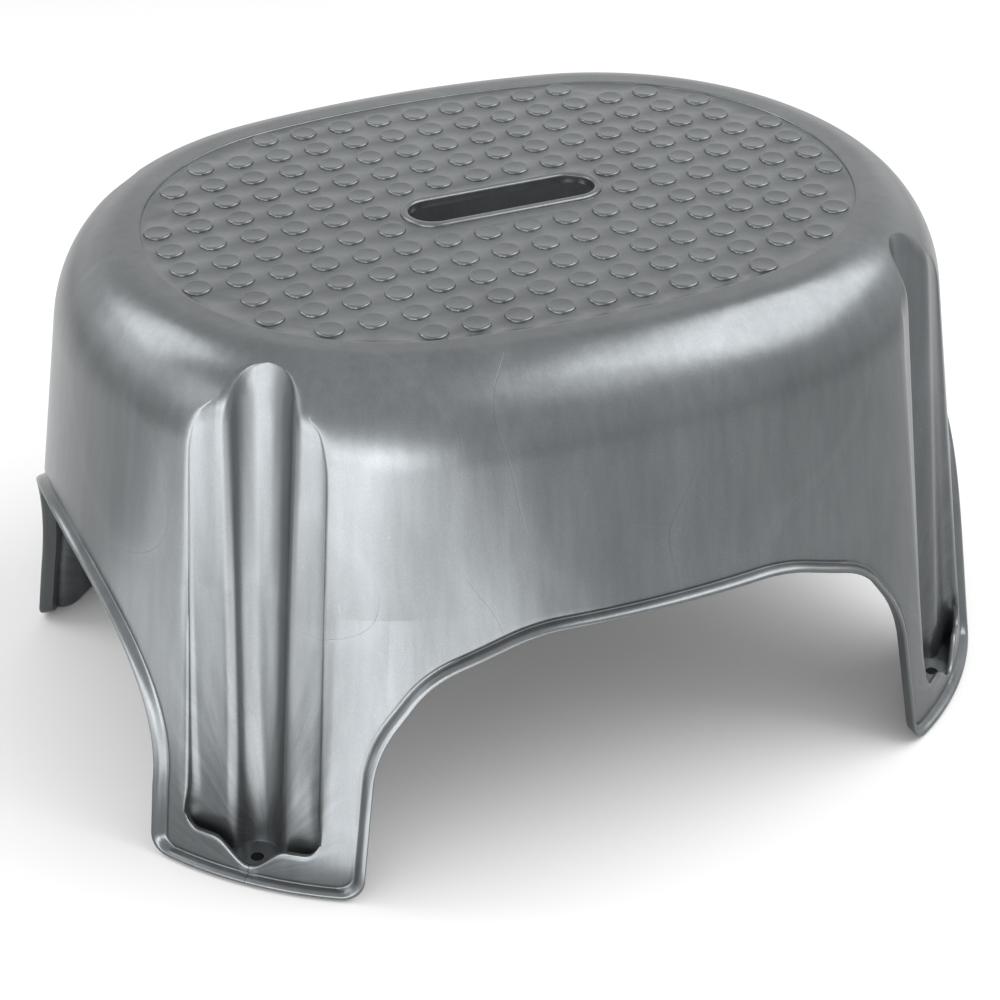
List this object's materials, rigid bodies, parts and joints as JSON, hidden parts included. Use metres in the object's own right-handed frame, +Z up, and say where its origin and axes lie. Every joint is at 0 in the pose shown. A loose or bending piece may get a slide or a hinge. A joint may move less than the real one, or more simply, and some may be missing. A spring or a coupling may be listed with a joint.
{
  "type": "step stool",
  "caption": "Low oval step stool: a hollow moulded shell with a studded tread, a rimmed hand slot, arched sides and fluted legs on push-in rubber feet.",
  "frame": {"origin": "on the floor, under the centre of the tread", "axes": "+Z up, X along the length, Y along the width, -Y towards the viewer of the picture"},
  "size_m": [0.4138, 0.3312, 0.2224],
  "materials": {
    "silver_plastic": "silver-grey moulded plastic with a soft metallic sheen and faint flow marks",
    "black_rubber": "matte black"
  },
  "bodies": {
    "root": {"stool_shell": "silver_plastic", "foot_rear_right": "black_rubber", "foot_rear_left": "black_rubber", "foot_front_left": "black_rubber", "foot_front_right": "black_rubber"}
  },
  "joints": []
}
